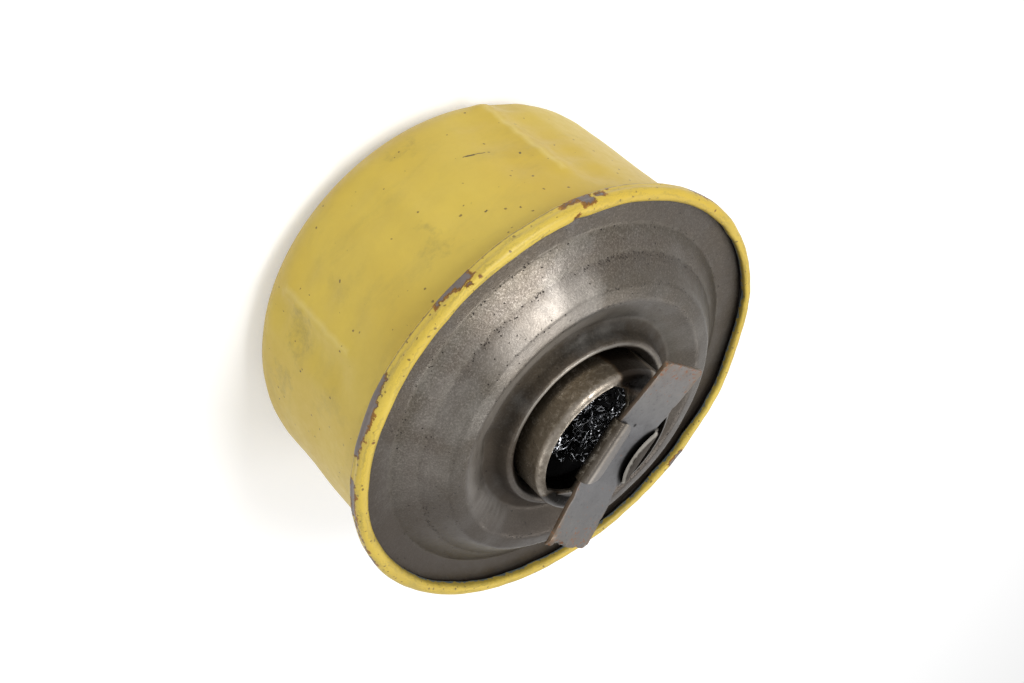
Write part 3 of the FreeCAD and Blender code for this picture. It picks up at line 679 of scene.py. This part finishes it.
def neck_steel():
    """Drawn sheet steel: a brown stained wall, a lip and folds rubbed bright and given painted highlights,
    rust with painted shadow under the strip's arms, and painted shade over the open lug's side of the neck."""
    material, add, shader = new_material("worn_drawn_steel", Metallic=0.9)
    place, x, y, z = object_place(add)
    cloud = add("TexNoise", {"Vector": place, "Scale": 130, "Detail": 4, "Roughness": 0.6})
    mottle = add("TexNoise", {"Vector": place, "Scale": 800, "Detail": 5, "Roughness": 0.75})
    height = add("MapRange", (z,), levels=(50 * MM, 70 * MM))
    stops = [((height_mm - 50) / 20, colour(code)) for height_mm, code in NECK_TONES_AND_PAINTED_LIGHT]
    tones = add("ValToRGB", {0: height}, stops=stops)
    coats = [(cloud, "#4B4234", (0.4, 0.65, 0, 0.6)), (mottle, "#B0A89C", (0.5, 0.72, 0, 0.55)),
             (mottle, "#2E261F", (0.42, 0.3, 0, 0.7))]

    # The flat of the pressed lug is rubbed to the strip's grey, and its fold is darkened with painted shade over a
    # pinkish mottle
    flat = add("MapRange", (y,), levels=(4.7 * MM, 3.9 * MM))
    top = add("MapRange", (z,), levels=(66.4 * MM, 67.0 * MM))
    near_side = add("Math", (y, 0), "GREATER_THAN")
    flat = add("Math", (flat, top), "MULTIPLY")
    flat = add("Math", (flat, near_side), "MULTIPLY")
    flat = add("Math", (flat, 0.85), "MULTIPLY")
    coats.append((flat, "#6E6B69"))

    fold = add("MapRange", (y,), levels=(4.9 * MM, 5.5 * MM, 0, 0.8))
    fold = add("Math", (fold, top), "MULTIPLY")
    coats.append((fold, "#2E271E"))

    # The open lug: bare steel with a painted highlight along its cut edge; painted shade darkens its face and the
    # whole neck on the side towards -Y
    far_side = add("MapRange", (y,), levels=(-1.5 * MM, -2.0 * MM))
    far_side_painted_shade = add("Math", (far_side, 0.85), "MULTIPLY")
    coats.append((far_side_painted_shade, "#241E19"))
    plan = add("CombineXYZ", (x, y))
    cut_edge_and_highlight = add("VectorMath", (plan, OPEN_LUG_CENTRE), "DISTANCE")
    cut_edge_and_highlight = add("MapRange", (cut_edge_and_highlight,), levels=(7.5 * MM, 7.58 * MM))
    cut_edge_and_highlight = add("Math", (cut_edge_and_highlight, far_side), "MULTIPLY")
    cut_edge_and_highlight = add("Math", (cut_edge_and_highlight, top), "MULTIPLY")
    coats.append((cut_edge_and_highlight, "#B5B0A8"))

    # Painted shadow on the lip under both arms, with rust at its borders
    length = add("Math", (x,), "ABSOLUTE")
    length = add("MapRange", (length,), levels=(10.8 * MM, 13.6 * MM))
    width = apart(add, y, 4 * MM)
    width = add("MapRange", (width,), levels=(6.5 * MM, 3.0 * MM))
    arm_shadow_and_rust = add("Math", (length, width), "MULTIPLY")
    arm_shadow_and_rust = add("Math", (arm_shadow_and_rust, cloud), "ADD")
    coats.append((arm_shadow_and_rust, "#4C3416", (0.9, 1.1, 0, 0.6)))
    coats.append((arm_shadow_and_rust, "#17110C", (1, 1.25, 0, 0.92)))

    # Painted shade on the undersides
    normal = add("NewGeometry", {})
    facing = add("SeparateXYZ", (normal.outputs["Normal"],))
    coats.append((facing.outputs["Z"], "#0E0B09", (-0.3, -0.7, 0, 0.95)))

    # The open lug's face is the dullest, with burnt oil
    dull = add("MapRange", (mottle,), levels=(0.3, 0.7, 0.42, 0.24))
    crust = add("Math", (far_side, top), "MULTIPLY")
    crust = add("Math", (crust, 0.45), "MULTIPLY")
    dull = add("Math", (dull, crust), "ADD")
    skin = add("Bump", {"Height": mottle, "Strength": 0.55, "Distance": 0.12 * MM})
    fill(shader, {"Base Color": coated(add, tones, coats), "Roughness": dull, "Normal": skin})
    return material


# Tones of the strip by the share of its length, from -X to +X
STRIP_TONES = [(0.02, "#62605D"), (0.25, "#5C5B5B"), (0.6, "#606062"), (0.8, "#6F6D6B"), (0.98, "#75716E")]


def plated_spring_steel():
    """Spring steel with dull zinc plating: an even blue-grey face, brown at its sheared sides, tinted with
    rust at its ends, and black with painted shadow where the open lug stands over it."""
    material, add, shader = new_material("dull_plated_spring_steel", Metallic=0.75)
    place, x, y, _ = object_place(add)
    mottle = add("TexNoise", {"Vector": place, "Scale": 260, "Detail": 5, "Roughness": 0.7})
    grain = add("TexNoise", {"Vector": place, "Scale": 2200, "Detail": 3})
    run = add("MapRange", (x,), levels=(-22 * MM, 22 * MM))
    tones = add("ValToRGB", {0: run}, stops=[(share, colour(code)) for share, code in STRIP_TONES])
    coats = [(mottle, "#545354", (0.35, 0.65, 0, 0.4))]

    # Brown towards the ends and along the sheared sides
    length = add("Math", (x,), "ABSOLUTE")
    ends = add("MapRange", (length,), levels=(13 * MM, 22 * MM))
    width = add("Math", (y,), "ABSOLUTE")
    sides = add("MapRange", (width,), levels=(4.6 * MM, 6.3 * MM))
    worn = add("Math", (ends, sides), "ADD")
    worn = add("Math", (worn, mottle), "MULTIPLY")
    coats.append((worn, "#75614C", (0.32, 0.9, 0, 0.75)))
    normal = add("NewGeometry", {})
    facing = add("SeparateXYZ", (normal.outputs["Normal"],))
    flat = add("Math", (facing.outputs["Z"],), "ABSOLUTE")
    coats.append((flat, "#5B4C3D", (0.6, 0.25, 0, 0.85)))

    # Rust freckles and dark scuffs of 0.2 to 0.6 mm
    rust = add("TexNoise", {"Vector": place, "Scale": 1300, "Detail": 3, "Roughness": 0.65})
    few = add("MapRange", (ends,), levels=(0, 1, 0.66, 0.55))
    freckle = add("Math", (rust, few), "SUBTRACT")
    coats.append((freckle, "#7A481F", (0, 0.05, 0, 0.75)))
    coats.append((rust, "#3B3A3B", (0.42, 0.28, 0, 0.6)))

    # A dot of dirt near the middle, and painted shadow under the open lug
    plan = add("CombineXYZ", (x, y))
    dot = add("VectorMath", (plan, (6.8 * MM, 1.05 * MM, 0)), "DISTANCE")
    coats.append((dot, "#151312", (0.5 * MM, 0.3 * MM)))
    lug = add("VectorMath", (plan, OPEN_LUG_CENTRE), "DISTANCE")
    coats.append((lug, "#0C0A09", (8.9 * MM, 8.2 * MM, 0, 0.97)))

    dull = add("MapRange", (mottle,), levels=(0.3, 0.7, 0.36, 0.5))
    skin = add("Bump", {"Height": grain, "Strength": 0.35, "Distance": 0.05 * MM})
    waves = add("Bump", {"Height": mottle, "Strength": 0.3, "Distance": 0.2 * MM, "Normal": skin})
    fill(shader, {"Base Color": coated(add, tones, coats), "Roughness": dull, "Normal": waves})
    return material


def drawn_wire():
    """Bright drawn steel wire, wet with old oil: thin hard glints on near black."""
    material, add, shader = new_material("oily_drawn_steel_wire", Metallic=1.0, Roughness=0.24)
    place = add("TexCoord", {}).outputs["Object"]
    oil = add("TexNoise", {"Vector": place, "Scale": 380, "Detail": 3})
    fill(shader, {"Base Color": coated(add, colour("#C6C8CC"), [(oil, "#2B2B2E", (0.46, 0.56))])})
    return material


def packing_painted_shade():
    """The depth of the packing: painted shade, black where no light comes back out."""
    material, add, shader = new_material("packing_shade_black", Roughness=0.8)
    place = add("TexCoord", {}).outputs["Object"]
    crumbs = add("TexNoise", {"Vector": place, "Scale": 700, "Detail": 4})
    fill(shader, {"Base Color": coated(add, colour("#070707"), [(crumbs, "#151414")])})
    shader.inputs["Specular IOR Level"].default_value = 0.15
    return material


# ---------------------------------------------------------------- the drum


def make_painted_drum():
    """The drum with its closed top, flange and rolled rim, dented as it has been in use."""
    inner_fold = RIM_RADIUS - 3.2 * MM
    shoulder = DRUM_RADIUS - 0.24 * MM
    corners = [
        (0, 0, 0),
        (shoulder, 0, 10 * MM),
        (DRUM_RADIUS, FLANGE_UNDER, 0.6 * MM),
        (RIM_RADIUS, FLANGE_UNDER, 1.2 * MM),
        (RIM_RADIUS - 0.25 * MM, FLANGE_UNDER + 1.8 * MM, 1.2 * MM),
        (RIM_RADIUS, RIM_TOP - 1.6 * MM, 1.0 * MM),
        (RIM_RADIUS, RIM_TOP, 1.35 * MM),
        (inner_fold, RIM_TOP, 1.5 * MM),
        (inner_fold, LEDGE + 0.08 * MM, 0),
    ]
    section = with_runs_split(rounded(corners, 14), 1.9 * MM)
    drum = turned("painted_drum", section, 360)

    # How far each vertex lies along the rim's section from where the flange leaves the drum, in mm
    fold = Vector((DRUM_RADIUS, FLANGE_UNDER))
    start = min(range(len(section)), key=lambda index: (section[index] - fold).length)
    lengths = [0.0]
    for first, second in zip(section, section[1:]):
        lengths.append(lengths[-1] + (second - first).length)
    tree = KDTree(len(section))
    for index, point in enumerate(section):
        tree.insert((point.x, point.y, 0), index)
    tree.balance()
    along = drum.data.attributes.new("along", "FLOAT", "POINT")
    nearest = [tree.find((vertex.co.xy.length, vertex.co.z, 0))[1] for vertex in drum.data.vertices]
    for vertex_index, index in enumerate(nearest):
        along.data[vertex_index].value = (lengths[index] - lengths[start]) / MM
    rim = drum.vertex_groups.new(name="rim")
    rim.add([vertex_index for vertex_index, index in enumerate(nearest) if index > start], 1.0, "REPLACE")
    wall = drum.vertex_groups.new(name="wall")
    for vertex in drum.data.vertices:
        wall.add([vertex.index], min(1.0, max(0.0, (vertex.co.z - 6 * MM) / (10 * MM))), "REPLACE")

    # Slow unevenness of the hammered-about sheet, and a livelier one on the rim
    ripple(drum, "slow_waves", 16 * MM, 0.5 * MM, 0.6, "wall")
    ripple(drum, "rim_waves", 7 * MM, 0.3 * MM, 0.8, "rim")

    # creases and dents of the wall: azimuth, then heights, how far out and reach in mm
    wall_pushes = [
        # creases down the drum, each a ridge between two hollows
        (27.4, (7, 12, 17, 22, 27, 32), 0.7, 3.6),
        (19.5, (8, 15, 22, 29, 36), -0.9, 6),
        (35, (12, 20, 28), -0.7, 6),
        (97.7, (11, 16, 21, 26, 31), 0.75, 3.6),
        (104.5, (12, 19, 26, 33), -0.9, 6),
        (91, (14, 22, 30), -0.7, 5),
        # shallow dents
        (63, (9, 15, 21, 27, 33), 0.45, 4.5),
        (70, (12, 19, 26, 33), -0.55, 6),
        (56, (16, 24, 32), -0.4, 6),
        (50, (24,), 0.4, 12),
        (80, (16,), -0.5, 12),
        (122, (30,), -0.5, 11),
        (200, (22,), -0.6, 14),
        (285, (30,), -0.5, 12),
    ]
    pushes = [([at(turn, DRUM_RADIUS, up * MM) for up in heights], at(turn, out * MM, 0), reach * MM)
              for turn, heights, out, reach in wall_pushes]
    pushes += [
        # the rim, knocked out of round
        ([at(-63, RIM_RADIUS, 48.5 * MM)], at(-63, -0.8 * MM, 0), 15 * MM),
        ([at(-90, RIM_RADIUS - 3 * MM, 50 * MM)], at(-90, -0.4 * MM, 0), 8 * MM),
        ([at(38, RIM_RADIUS - 2 * MM, 50.4 * MM)], at(38, 0.3 * MM, -0.3 * MM), 2.6 * MM),
        ([at(-99, RIM_RADIUS, 49 * MM)], at(-99, -0.4 * MM, 0), 3 * MM),
    ]
    # the fold's tip, sprung up and out on the side away from the pressed lug: azimuth, out and up in mm
    tip = ((14, 0, 0), (2, 0.45, 0.2), (-12, 0.8, 0.4), (-28, 1.1, 0.5), (-45, 1.2, 0.6), (-62, 0.8, 0.8),
           (-80, 0.45, 1.0), (-93, 0.35, 0.9), (-106, 0.5, 0.7), (-119, 0.8, 0.9), (-132, 0.55, 0.6),
           (-150, 0.5, 0.5), (-171, 0.5, 0.45), (-190, 0.3, 0.2), (-202, 0, 0))
    reach = 4.2 * MM
    for (first, out, lift), (last, out_after, lift_after) in zip(tip, tip[1:]):
        steps = round(2 * math.radians(first - last) * inner_fold / reach)
        for step in range(steps):
            share = step / steps
            turn = first + (last - first) * share
            move = at(turn, (out + (out_after - out) * share) * MM, (lift + (lift_after - lift) * share) * MM)
            pushes.append(([at(turn, inner_fold, LEDGE)], move / 2, reach))
    push(drum, pushes)
    thicken(drum, SHEET, yellow_enamel(), oily_inside(), sheared_edge())
    smooth(drum, 40)
    return drum


# ---------------------------------------------------------------- the base plate


def make_stepped_plate():
    """The base plate, pressed in steps, with the marks of the press and of use."""
    bore = NECK_RADIUS + 0.08 * MM
    corners = [
        (RIM_RADIUS - 1.95 * MM, LEDGE, 0),
        (41.6 * MM, LEDGE, 1.3 * MM),
        (36.9 * MM, LEDGE + 3.3 * MM, 1.6 * MM),
        (32.6 * MM, LEDGE + 7.4 * MM, 2.0 * MM),
        (29.3 * MM, LEDGE + 8.1 * MM, 2.2 * MM),
        (23.6 * MM, LEDGE + 5.2 * MM, 2.6 * MM),
        (21.0 * MM, LEDGE + 5.2 * MM, 1.4 * MM),
        (19.9 * MM, LEDGE + 8.5 * MM, 0.75 * MM),
        (18.7 * MM, LEDGE + 8.5 * MM, 1.1 * MM),
        (bore, LEDGE + 6.4 * MM, 0.8 * MM),
        (bore, LEDGE + 5.4 * MM, 0),
    ]
    plate = turned("stepped_plate", with_runs_split(rounded(corners, 10), 1.1 * MM), 360)
    ripple(plate, "plate_waves", 12 * MM, 0.3 * MM)
    down = Vector((0, 0, -MM))
    kink = [((-20.5 - 0.75 * step) * MM, (15 - 1.5 * step) * MM, 56 * MM) for step in range(7)]
    push(plate, [
        # the dip's outer side, knocked in at two places
        ([(-9 * MM, 22 * MM, 54 * MM)], down * 0.7, 5 * MM),
        ([(-15 * MM, 17 * MM, 54 * MM)], down * 0.5, 5 * MM),
        # a kink that runs outwards across the crest, and a hollow beside it
        (kink, down * -0.3, 3.4 * MM),
        ([(-27 * MM, 13 * MM, 56 * MM)], down * 0.5, 7 * MM),
        # shallow dents of the crest, and a rise of the ledge's slope
        ([at(172, 29 * MM, 56 * MM)], down * 0.4, 7 * MM),
        ([at(40, 34 * MM, 55 * MM)], down * 0.35, 7 * MM),
        ([at(5, 33 * MM, 55 * MM)], down * 0.4, 6 * MM),
        ([at(100, 38 * MM, 51 * MM)], down * -0.25, 9 * MM),
    ])
    thicken(plate, 1.0 * MM, plate_steel(), oily_inside())
    smooth(plate, 40)
    return plate


# ---------------------------------------------------------------- bent sheets


def bent_sheet(name, section, halves, thickness, cuts, turn=0):
    """A sheet bent across X: a line of vertices along X is extruded through a (y, z) section, and widened
    or narrowed to its half length at each step. Turned by a quarter, it is bent across Y."""
    half = halves[0]
    bpy.ops.object.select_all(action="DESELECT")
    bpy.ops.mesh.primitive_plane_add(size=2 * half, location=(0, 0, 0))
    piece = bpy.context.object
    piece.name = name
    bpy.ops.object.mode_set(mode="EDIT")
    bpy.ops.mesh.select_all(action="DESELECT")
    cage = bmesh.from_edit_mesh(piece.data)
    for vertex in cage.verts:
        vertex.select = vertex.co.y < 0
    cage.select_flush_mode()
    bmesh.update_edit_mesh(piece.data)
    bpy.ops.mesh.delete(type="VERT")
    bpy.ops.mesh.select_all(action="SELECT")
    bpy.ops.mesh.subdivide(number_cuts=cuts)
    bpy.ops.transform.translate(value=(0, section[0].x - half, section[0].y))
    for index in range(1, len(section)):
        before, after = section[index - 1], section[index]
        move = (0, after.x - before.x, after.y - before.y)
        bpy.ops.mesh.extrude_edges_move(TRANSFORM_OT_translate={"value": move})
        bpy.ops.transform.resize(value=(halves[index] / halves[index - 1], 1, 1),
                                 center_override=(0, after.x, after.y))
    bpy.ops.mesh.select_all(action="SELECT")
    bpy.ops.transform.rotate(value=turn, orient_axis="Z", center_override=(0, 0, 0))
    bpy.ops.mesh.normals_make_consistent(inside=False)
    bpy.ops.object.mode_set(mode="OBJECT")
    finish_with(piece, "SOLIDIFY", thickness=thickness, offset=0, use_even_offset=True)
    return piece


def make_neck_shell():
    """The drawn cup with its flange, its rounded lip and its mouth."""
    foot = LEDGE + 4.2 * MM
    section = [
        (22.8 * MM, foot - 0.02 * MM, 0),
        (NECK_RADIUS, foot - 0.02 * MM, 0.8 * MM),
        (NECK_RADIUS, LIP_TOP, 1.7 * MM),
        (0, LIP_TOP, 0),
    ]
    shell = turned("neck_shell", with_runs_split(rounded(section, 10), 0.8 * MM), 256)
    finish_with(shell, "SOLIDIFY", thickness=SHEET, offset=-1, use_even_offset=True)

    # The mouth's cutter: a disc, cut short at both ends, with its four upright edges rounded
    half_mouth = 12.5 * MM
    bpy.ops.object.select_all(action="DESELECT")
    bpy.ops.mesh.primitive_cylinder_add(vertices=256, radius=15.5 * MM, depth=6 * MM, location=(0, 0, LIP_TOP))
    cutter = bpy.context.object
    bpy.ops.object.mode_set(mode="EDIT")
    for side in (1, -1):
        bpy.ops.mesh.select_all(action="SELECT")
        bpy.ops.mesh.bisect(plane_co=(side * half_mouth, 0, 0), plane_no=(side, 0, 0), use_fill=True,
                            clear_outer=True)
    bpy.ops.mesh.select_all(action="DESELECT")
    cage = bmesh.from_edit_mesh(cutter.data)
    for edge in cage.edges:
        middle = (edge.verts[0].co + edge.verts[1].co) / 2
        upright = abs(edge.verts[0].co.z - edge.verts[1].co.z) > 1 * MM
        edge.select = upright and abs(abs(middle.x) - half_mouth) < 0.01 * MM
    cage.select_flush_mode()
    bmesh.update_edit_mesh(cutter.data)
    bpy.ops.mesh.bevel(offset=1.5 * MM, segments=6, affect="EDGES")
    bpy.ops.object.mode_set(mode="OBJECT")
    finish_with(shell, "BOOLEAN", operation="DIFFERENCE", object=cutter, solver="EXACT")
    bpy.data.objects.remove(cutter)
    return shell


def make_drawn_neck():
    """The neck: its shell, the bridge joggled up across the mouth, and the two lugs folded from it, one
    pressed flat over the strip and one half-moon that stands off it."""
    half = SHEET / 2
    deck = BRIDGE_TOP - half
    lip = LIP_TOP - half
    half_bridge = 5.5 * MM
    bridge_line = rounded([(-14.4 * MM, lip, 0), (-12.9 * MM, lip, 1.2 * MM), (-10.3 * MM, deck, 1.2 * MM),
                           (10.3 * MM, deck, 1.2 * MM), (12.9 * MM, lip, 1.2 * MM), (14.4 * MM, lip, 0)])
    bridge = bent_sheet("bridge", bridge_line, [half_bridge] * len(bridge_line), SHEET, 3, math.pi / 2)

    outer = STRIP_WIDTH / 2 + 0.1 * MM + half
    flap = STRIP_TOP + 0.02 * MM + half
    root, tip, half_lug, corner = 4.6 * MM, 2.3 * MM, 7.2 * MM, 2.6 * MM
    pressed_line = rounded([(root, deck, 0), (outer, deck, 0.45 * MM), (outer, flap + 0.12 * MM, 0.85 * MM),
                            (tip, flap, 0)])
    pressed_line = with_runs_split(pressed_line, 0.4 * MM)
    halves = []
    for point in pressed_line:
        depth = point.x - tip
        cut_in = 0
        if point.y > STRIP_TOP and depth < corner:
            cut_in = corner - math.sqrt(max(0, corner ** 2 - (corner - depth) ** 2))
        halves.append(half_lug - cut_in)
    pressed = bent_sheet("pressed_lug", pressed_line, halves, SHEET, 27)

    tip_rise = STRIP_TOP + 0.95 * MM + half
    open_line = rounded([(-root, deck, 0), (-outer, deck, 0.45 * MM), (-outer, flap + 0.2 * MM, 0.9 * MM),
                         (-3.35 * MM, tip_rise, 0)])
    open_line = with_runs_split(open_line, 0.3 * MM)
    half_root, least_half = 7.0 * MM, 0.4 * MM
    halves = []
    for point in open_line:
        depth = point.x - OPEN_LUG_CENTRE[1]
        half_moon = math.sqrt(max(OPEN_LUG_RADIUS ** 2 - depth ** 2, least_half ** 2))
        halves.append(half_moon if point.y > STRIP_TOP else half_root)
    opened = bent_sheet("open_lug", open_line, halves, SHEET, 31)

    shell = make_neck_shell()
    bpy.ops.object.select_all(action="DESELECT")
    for piece in (bridge, pressed, opened, shell):
        piece.select_set(True)
    bpy.context.view_layer.objects.active = shell
    bpy.ops.object.join()
    shell.name = "drawn_neck"
    finish_with(shell, "BEVEL", width=0.15 * MM, segments=2, limit_method="ANGLE", angle_limit=math.radians(55))
    smooth(shell, 35)
    return shell


# ---------------------------------------------------------------- the locking strip


def make_spring_strip():
    """The bowed strip, sheared from spring steel, with one end torn and its corners worn."""
    middle = BRIDGE_TOP + 0.02 * MM + STRIP_SHEET / 2
    lift = STRIP_HIGH.z - STRIP_TOP - 0.12 * MM
    half_flat = 7.0 * MM
    steps = 52
    line = []
    for step in range(-steps, steps + 1):
        across = STRIP_HALF * step / steps
        run = max(0, (abs(across) - half_flat) / (STRIP_HALF - half_flat))
        line.append(Vector((across, middle + lift * (run * 1.25 - 0.25 * run * run))))
    strip = bent_sheet("spring_strip", line, [STRIP_WIDTH / 2] * len(line), STRIP_SHEET - 0.06 * MM, 29, math.pi / 2)
    ripple(strip, "strip_waves", 4 * MM, 0.14 * MM)
    end, side, top = STRIP_HALF, STRIP_WIDTH / 2, STRIP_HIGH.z
    # places, move in mm, reach in mm
    nicks = [
        # the torn end: a notch beside a thin sliver, and a broken corner
        ([(-end, side - 2.6 * MM, top), (-end, side - 3.6 * MM, top)], (1.5, 0, -0.5), 1.3),
        ([(-end, side - 5.2 * MM, top)], (0.9, 0.2, -0.2), 1.0),
        ([(-end, side - 0.4 * MM, top)], (-0.1, 0, -0.7), 1.3),
        ([(-end + 2.5 * MM, side, top)], (0, -0.5, -0.2), 1.2),
        ([(-end, -side + 3.2 * MM, top)], (0.5, 0, 0), 0.8),
        ([(-end, -side, top)], (0.9, 0.35, 0), 1.2),
        # worn corners and sides
        ([(end, side, top)], (-0.5, -0.35, 0), 1.2),
        ([(end, -side, top)], (-0.25, 0.25, 0), 0.9),
        ([(-11 * MM, side, top - 1 * MM)], (0, -0.3, 0), 2.0),
        ([(-15.5 * MM, -side, top - 1 * MM)], (0, 0.3, 0), 1.4),
        ([(-9 * MM, -side, top - 1 * MM)], (0, 0.5, 0), 1.8),
        ([(12.3 * MM, -side, top - 1 * MM)], (0, 0.35, 0), 1.2),
        ([(10 * MM, -side, top - 1 * MM)], (0, -0.2, 0), 1.2),
    ]
    push(strip, [(places, Vector(move) * MM, reach * MM) for places, move, reach in nicks])
    finish_with(strip, "BEVEL", width=0.14 * MM, segments=2, limit_method="ANGLE", angle_limit=math.radians(50))
    smooth(strip, 35)
    return strip


# ---------------------------------------------------------------- the wire packing


def make_packing_pad():
    """The dark mass of the packing, sunk low at one end of the mouth."""
    drum_inner = DRUM_RADIUS - 1.34 * MM
    neck_inner = NECK_RADIUS - 1.3 * MM
    plate_under = LEDGE - 1.4 * MM
    top = 54.5 * MM
    section = rounded([
        (0, PACKING_LOW.z, 0),
        (drum_inner, PACKING_LOW.z, 9.2 * MM),
        (drum_inner, plate_under, 0),
        (neck_inner, plate_under, 0),
        (neck_inner, top, 1.5 * MM),
        (0, top, 0),
    ])
    pad = turned("packing_pad", with_runs_split(section, 1.5 * MM), 96)
    push(pad, [
        ([(-8 * MM, 2 * MM, top)], (0, 0, -9 * MM), 9 * MM),
        ([(-5 * MM, 9 * MM, top)], (0, 0, -7 * MM), 7 * MM),
        ([(6 * MM, 6 * MM, top)], (0, 0, 1 * MM), 6 * MM),
    ])
    smooth(pad, 60)
    return pad


def any_way(dice, *reaches):
    """A random step, within a reach of 0 along each axis."""
    return Vector([dice.uniform(-reach, reach) for reach in reaches])


def make_curly_wire():
    """Crimped wire, as one curve of many lengths, each turning in loose loops of 1 to 2 mm. Its lengths are
    wound in mm, and turn for home where they leave the neck's inside."""
    lengths, step, crimp = 95, 0.5, 0.55
    neck_reach, floor, ceiling = 14.2, 52, 58.6
    middle = Vector((2, 1, 55.5))
    dice = random.Random(11)
    curve = bpy.data.curves.new("curly_wire", "CURVE")
    curve.dimensions = "3D"
    curve.bevel_depth = 0.13 * MM
    curve.bevel_resolution = 0
    curve.resolution_u = 2
    for _ in range(lengths):
        place = Vector((dice.uniform(-9, 12), dice.uniform(-12, 13), dice.uniform(54, 58)))
        heading = any_way(dice, 1, 1, 0.6).normalized()
        axis = Vector((dice.uniform(-0.7, 0.7), dice.uniform(-0.7, 0.7), 1))
        drift = any_way(dice, 1, 1, 0.3) * 0.3
        bend_radius = dice.uniform(0.8, 1.6)
        spline = curve.splines.new("NURBS")
        points = []
        for _ in range(dice.randint(28, 46)):
            points.append(place.copy())
            axis += any_way(dice, 1, 1, 1) * 0.22
            axis = (axis - heading * axis.dot(heading)).normalized()
            heading.rotate(Quaternion(axis, crimp / bend_radius))
            bend_radius = min(2.0, max(0.75, bend_radius + dice.uniform(-0.2, 0.2)))
            top = ceiling + min(0, place.x + 8) * 1.4
            if place.xy.length > neck_reach or place.z > top or place.z < floor:
                home = (middle - place).normalized()
                heading = (heading + home * 0.4).normalized()
                drift = home * 0.25
            drift = (drift + any_way(dice, 1, 1, 1) * 0.05) * 0.98
            place += heading * step + drift
        spline.points.add(len(points) - 1)
        for point, spot in zip(spline.points, points):
            point.co = (*(spot * MM), 1)
        spline.order_u = 4
        spline.use_endpoint_u = True
    wire = bpy.data.objects.new("curly_wire", curve)
    bpy.context.scene.collection.objects.link(wire)
    pick(wire)
    bpy.ops.object.convert(target="MESH")
    wire = bpy.context.object
    smooth(wire, 60)
    return wire


add_camera()
add_studio()

dress(make_painted_drum(), "outer_cover")
dress(make_stepped_plate(), "base_plate")
dress(make_drawn_neck(), "neck_cup", neck_steel())
dress(make_spring_strip(), "locking_strip", plated_spring_steel())
dress(make_packing_pad(), "wire_packing", packing_painted_shade())
dress(make_curly_wire(), "wire_packing", drawn_wire())
